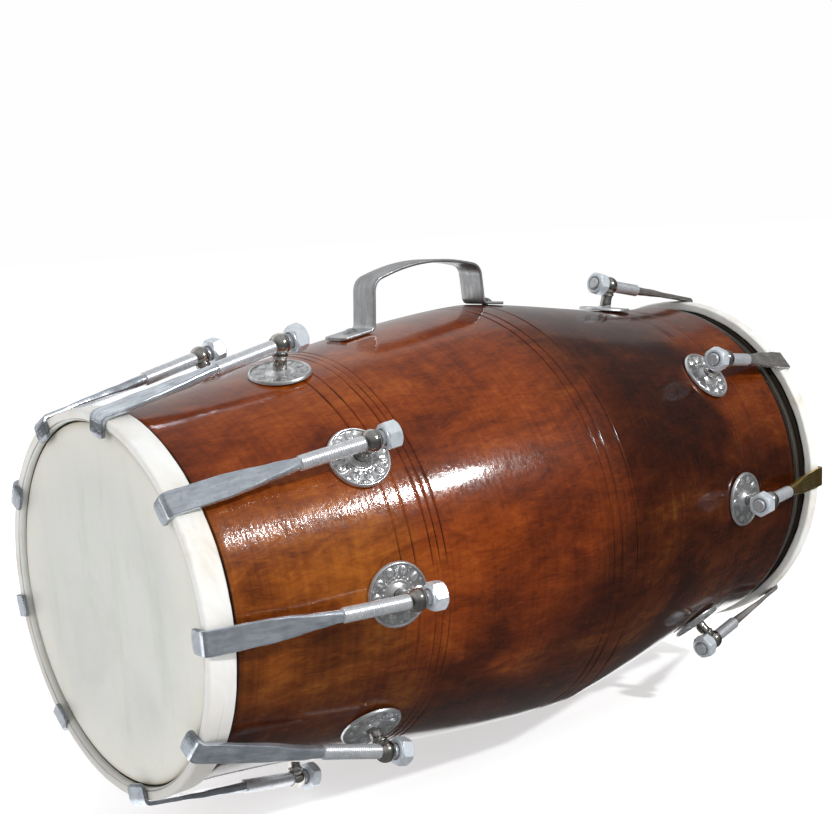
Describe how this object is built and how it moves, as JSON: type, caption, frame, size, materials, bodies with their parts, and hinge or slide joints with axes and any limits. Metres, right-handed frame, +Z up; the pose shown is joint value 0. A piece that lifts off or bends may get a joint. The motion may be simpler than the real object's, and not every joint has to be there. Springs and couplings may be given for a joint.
{
  "type": "dholak barrel drum",
  "caption": "Barrel hand drum: turned wooden shell with a hide head at each end, white hide-wrapped hoops pulled tight by threaded hooks, eye bolts and tuning nuts, and a strap handle.",
  "frame": {"origin": "under the middle of the drum: half way between the two hoop fronts, on the plane of the drum's axis, at the height of its lowest point", "axes": "+X along the drum axis from the small treble head to the large bass head, +Z up through the carrying handle, +Y away from the side seen first in the picture"},
  "size_m": [0.4577, 0.2752, 0.2912],
  "materials": {
    "lacquered_wood": "turned wood stained amber to dark red-brown under clear gloss lacquer",
    "goat_hide": "scraped goat hide, off-white with faint grey-green mottling",
    "hide_wrap": "white hide strip shrunk and glued round the hoop",
    "plain_steel": "plain steel strip and fasteners",
    "tuning_paste": null,
    "eye_bolt_steel": "nickel-plated turned steel",
    "washer_plate": "nickel-plated pressed sheet with an embossed rosette",
    "hook_steel": "bright zinc-plated forged strap and threaded rod",
    "nut_steel": "zinc-plated hexagon nut with rounded corners",
    "handle_strap": "galvanised steel strip, softly polished",
    "screw_steel": "zinc-plated wood screws"
  },
  "bodies": {
    "drum": {"shell": "lacquered_wood", "treble_skin": "goat_hide", "treble_flesh_hoop": "plain_steel", "treble_counter_hoop": "plain_steel", "treble_hoop_wrap": "hide_wrap", "bass_skin": "goat_hide", "bass_flesh_hoop": "plain_steel", "bass_counter_hoop": "plain_steel", "bass_hoop_wrap": "hide_wrap", "bass_tuning_paste": "tuning_paste", "treble_eye_bolts": "eye_bolt_steel", "bass_eye_bolts": "eye_bolt_steel", "treble_washers": "washer_plate", "bass_washers": "washer_plate", "inner_washers": "plain_steel", "inner_nuts": "plain_steel", "carry_handle": "handle_strap", "handle_screws": "screw_steel"},
    "treble_hook_1": {"treble_hook_1": "hook_steel"},
    "treble_nut_1": {"treble_nut_1": "nut_steel"},
    "treble_hook_2": {"treble_hook_2": "hook_steel"},
    "treble_nut_2": {"treble_nut_2": "nut_steel"},
    "treble_hook_3": {"treble_hook_3": "hook_steel"},
    "treble_nut_3": {"treble_nut_3": "nut_steel"},
    "treble_hook_4": {"treble_hook_4": "hook_steel"},
    "treble_nut_4": {"treble_nut_4": "nut_steel"},
    "treble_hook_5": {"treble_hook_5": "hook_steel"},
    "treble_nut_5": {"treble_nut_5": "nut_steel"},
    "treble_hook_6": {"treble_hook_6": "hook_steel"},
    "treble_nut_6": {"treble_nut_6": "nut_steel"},
    "treble_hook_7": {"treble_hook_7": "hook_steel"},
    "treble_nut_7": {"treble_nut_7": "nut_steel"},
    "treble_hook_8": {"treble_hook_8": "hook_steel"},
    "treble_nut_8": {"treble_nut_8": "nut_steel"},
    "treble_hook_9": {"treble_hook_9": "hook_steel"},
    "treble_nut_9": {"treble_nut_9": "nut_steel"},
    "bass_hook_1": {"bass_hook_1": "hook_steel"},
    "bass_nut_1": {"bass_nut_1": "nut_steel"},
    "bass_hook_2": {"bass_hook_2": "hook_steel"},
    "bass_nut_2": {"bass_nut_2": "nut_steel"},
    "bass_hook_3": {"bass_hook_3": "hook_steel"},
    "bass_nut_3": {"bass_nut_3": "nut_steel"},
    "bass_hook_4": {"bass_hook_4": "hook_steel"},
    "bass_nut_4": {"bass_nut_4": "nut_steel"},
    "bass_hook_5": {"bass_hook_5": "hook_steel"},
    "bass_nut_5": {"bass_nut_5": "nut_steel"},
    "bass_hook_6": {"bass_hook_6": "hook_steel"},
    "bass_nut_6": {"bass_nut_6": "nut_steel"},
    "bass_hook_7": {"bass_hook_7": "hook_steel"},
    "bass_nut_7": {"bass_nut_7": "nut_steel"},
    "bass_hook_8": {"bass_hook_8": "hook_steel"},
    "bass_nut_8": {"bass_nut_8": "nut_steel"}
  },
  "joints": [
    {"name": "treble_hook_1_slide", "type": "slide", "parent": "drum", "child": "treble_hook_1", "axis": [-0.9745, -0.0983, -0.2016], "range_m": [0, 0.005]},
    {"name": "treble_nut_1_turn", "type": "hinge", "parent": "drum", "child": "treble_nut_1", "pos_m": [-0.1258, 0.05324, 0.246], "axis": [0.9745, 0.0983, 0.2016], "range_deg": [0, 1446]},
    {"name": "treble_hook_2_slide", "type": "slide", "parent": "drum", "child": "treble_hook_2", "axis": [-0.9745, 0.0466, -0.2194], "range_m": [0, 0.005]},
    {"name": "treble_nut_2_turn", "type": "hinge", "parent": "drum", "child": "treble_nut_2", "pos_m": [-0.1258, -0.02525, 0.25564], "axis": [0.9745, -0.0466, 0.2194], "range_deg": [0, 1446]},
    {"name": "treble_hook_3_slide", "type": "slide", "parent": "drum", "child": "treble_hook_3", "axis": [-0.9745, 0.1755, -0.1396], "range_m": [0, 0.005]},
    {"name": "treble_nut_3_turn", "type": "hinge", "parent": "drum", "child": "treble_nut_3", "pos_m": [-0.1258, -0.09505, 0.21245], "axis": [0.9745, -0.1755, 0.1396], "range_deg": [0, 1446]},
    {"name": "treble_hook_4_slide", "type": "slide", "parent": "drum", "child": "treble_hook_4", "axis": [-0.9745, 0.2242, -0.0039], "range_m": [0, 0.005]},
    {"name": "treble_nut_4_turn", "type": "hinge", "parent": "drum", "child": "treble_nut_4", "pos_m": [-0.1258, -0.12143, 0.13896], "axis": [0.9745, -0.2242, 0.0039], "range_deg": [0, 1446]},
    {"name": "treble_hook_5_slide", "type": "slide", "parent": "drum", "child": "treble_hook_5", "axis": [-0.9568, 0.0518, 0.2862], "range_m": [0, 0.005]},
    {"name": "treble_nut_5_turn", "type": "hinge", "parent": "drum", "child": "treble_nut_5", "pos_m": [-0.1258, -0.08883, 0.05401], "axis": [0.9568, -0.0518, -0.2862], "range_deg": [0, 1446]},
    {"name": "treble_hook_6_slide", "type": "slide", "parent": "drum", "child": "treble_hook_6", "axis": [-0.9584, -0.1538, 0.2403], "range_m": [0, 0.005]},
    {"name": "treble_nut_6_turn", "type": "hinge", "parent": "drum", "child": "treble_nut_6", "pos_m": [-0.1258, -0.00636, 0.01555], "axis": [0.9584, 0.1538, -0.2403], "range_deg": [0, 1446]},
    {"name": "treble_hook_7_slide", "type": "slide", "parent": "drum", "child": "treble_hook_7", "axis": [-0.9745, -0.1442, 0.1718], "range_m": [0, 0.005]},
    {"name": "treble_nut_7_turn", "type": "hinge", "parent": "drum", "child": "treble_nut_7", "pos_m": [-0.1258, 0.07807, 0.0438], "axis": [0.9745, 0.1442, -0.1718], "range_deg": [0, 1446]},
    {"name": "treble_hook_8_slide", "type": "slide", "parent": "drum", "child": "treble_hook_8", "axis": [-0.9745, -0.2209, 0.0389], "range_m": [0, 0.005]},
    {"name": "treble_nut_8_turn", "type": "hinge", "parent": "drum", "child": "treble_nut_8", "pos_m": [-0.1258, 0.11961, 0.11575], "axis": [0.9745, 0.2209, -0.0389], "range_deg": [0, 1446]},
    {"name": "treble_hook_9_slide", "type": "slide", "parent": "drum", "child": "treble_hook_9", "axis": [-0.9745, -0.1962, -0.1087], "range_m": [0, 0.005]},
    {"name": "treble_nut_9_turn", "type": "hinge", "parent": "drum", "child": "treble_nut_9", "pos_m": [-0.1258, 0.10623, 0.19572], "axis": [0.9745, 0.1962, 0.1087], "range_deg": [0, 1446]},
    {"name": "bass_hook_1_slide", "type": "slide", "parent": "drum", "child": "bass_hook_1", "axis": [0.9819, 0.0066, -0.1895], "range_m": [0, 0.005]},
    {"name": "bass_nut_1_turn", "type": "hinge", "parent": "drum", "child": "bass_nut_1", "pos_m": [0.147, -0.00446, 0.26448], "axis": [-0.9819, -0.0066, 0.1895], "range_deg": [0, 1446]},
    {"name": "bass_hook_2_slide", "type": "slide", "parent": "drum", "child": "bass_hook_2", "axis": [0.9819, 0.1431, -0.1244], "range_m": [0, 0.005]},
    {"name": "bass_nut_2_turn", "type": "hinge", "parent": "drum", "child": "bass_nut_2", "pos_m": [0.147, -0.09639, 0.22063], "axis": [-0.9819, -0.1431, 0.1244], "range_deg": [0, 1446]},
    {"name": "bass_hook_3_slide", "type": "slide", "parent": "drum", "child": "bass_hook_3", "axis": [0.9819, 0.1896, 0], "range_m": [0, 0.005]},
    {"name": "bass_nut_3_turn", "type": "hinge", "parent": "drum", "child": "bass_nut_3", "pos_m": [0.147, -0.12772, 0.13684], "axis": [-0.9819, -0.1896, 0], "range_deg": [0, 1446]},
    {"name": "bass_hook_4_slide", "type": "slide", "parent": "drum", "child": "bass_hook_4", "axis": [0.9819, 0.1244, 0.1431], "range_m": [0, 0.005]},
    {"name": "bass_nut_4_turn", "type": "hinge", "parent": "drum", "child": "bass_nut_4", "pos_m": [0.147, -0.08379, 0.04045], "axis": [-0.9819, -0.1244, -0.1431], "range_deg": [0, 1446]},
    {"name": "bass_hook_5_slide", "type": "slide", "parent": "drum", "child": "bass_hook_5", "axis": [0.9819, -0.0165, 0.1889], "range_m": [0, 0.005]},
    {"name": "bass_nut_5_turn", "type": "hinge", "parent": "drum", "child": "bass_nut_5", "pos_m": [0.147, 0.01113, 0.00961], "axis": [-0.9819, 0.0165, -0.1889], "range_deg": [0, 1446]},
    {"name": "bass_hook_6_slide", "type": "slide", "parent": "drum", "child": "bass_hook_6", "axis": [0.9819, -0.1409, 0.1269], "range_m": [0, 0.005]},
    {"name": "bass_nut_6_turn", "type": "hinge", "parent": "drum", "child": "bass_nut_6", "pos_m": [0.147, 0.09492, 0.05138], "axis": [-0.9819, 0.1409, -0.1269], "range_deg": [0, 1446]},
    {"name": "bass_hook_7_slide", "type": "slide", "parent": "drum", "child": "bass_hook_7", "axis": [0.9819, -0.1896, 0], "range_m": [0, 0.005]},
    {"name": "bass_nut_7_turn", "type": "hinge", "parent": "drum", "child": "bass_nut_7", "pos_m": [0.147, 0.12772, 0.13684], "axis": [-0.9819, 0.1896, 0], "range_deg": [0, 1446]},
    {"name": "bass_hook_8_slide", "type": "slide", "parent": "drum", "child": "bass_hook_8", "axis": [0.9819, -0.1317, -0.1364], "range_m": [0, 0.005]},
    {"name": "bass_nut_8_turn", "type": "hinge", "parent": "drum", "child": "bass_nut_8", "pos_m": [0.147, 0.08872, 0.22871], "axis": [-0.9819, 0.1317, 0.1364], "range_deg": [0, 1446]}
  ],
  "couplings": [
    {"joint": "treble_nut_1_turn", "follows": "treble_hook_1_slide", "rad_per_m": 5026.5},
    {"joint": "treble_nut_2_turn", "follows": "treble_hook_2_slide", "rad_per_m": 5026.5},
    {"joint": "treble_nut_3_turn", "follows": "treble_hook_3_slide", "rad_per_m": 5026.5},
    {"joint": "treble_nut_4_turn", "follows": "treble_hook_4_slide", "rad_per_m": 5026.5},
    {"joint": "treble_nut_5_turn", "follows": "treble_hook_5_slide", "rad_per_m": 5026.5},
    {"joint": "treble_nut_6_turn", "follows": "treble_hook_6_slide", "rad_per_m": 5026.5},
    {"joint": "treble_nut_7_turn", "follows": "treble_hook_7_slide", "rad_per_m": 5026.5},
    {"joint": "treble_nut_8_turn", "follows": "treble_hook_8_slide", "rad_per_m": 5026.5},
    {"joint": "treble_nut_9_turn", "follows": "treble_hook_9_slide", "rad_per_m": 5026.5},
    {"joint": "bass_nut_1_turn", "follows": "bass_hook_1_slide", "rad_per_m": 5026.5},
    {"joint": "bass_nut_2_turn", "follows": "bass_hook_2_slide", "rad_per_m": 5026.5},
    {"joint": "bass_nut_3_turn", "follows": "bass_hook_3_slide", "rad_per_m": 5026.5},
    {"joint": "bass_nut_4_turn", "follows": "bass_hook_4_slide", "rad_per_m": 5026.5},
    {"joint": "bass_nut_5_turn", "follows": "bass_hook_5_slide", "rad_per_m": 5026.5},
    {"joint": "bass_nut_6_turn", "follows": "bass_hook_6_slide", "rad_per_m": 5026.5},
    {"joint": "bass_nut_7_turn", "follows": "bass_hook_7_slide", "rad_per_m": 5026.5},
    {"joint": "bass_nut_8_turn", "follows": "bass_hook_8_slide", "rad_per_m": 5026.5}
  ]
}
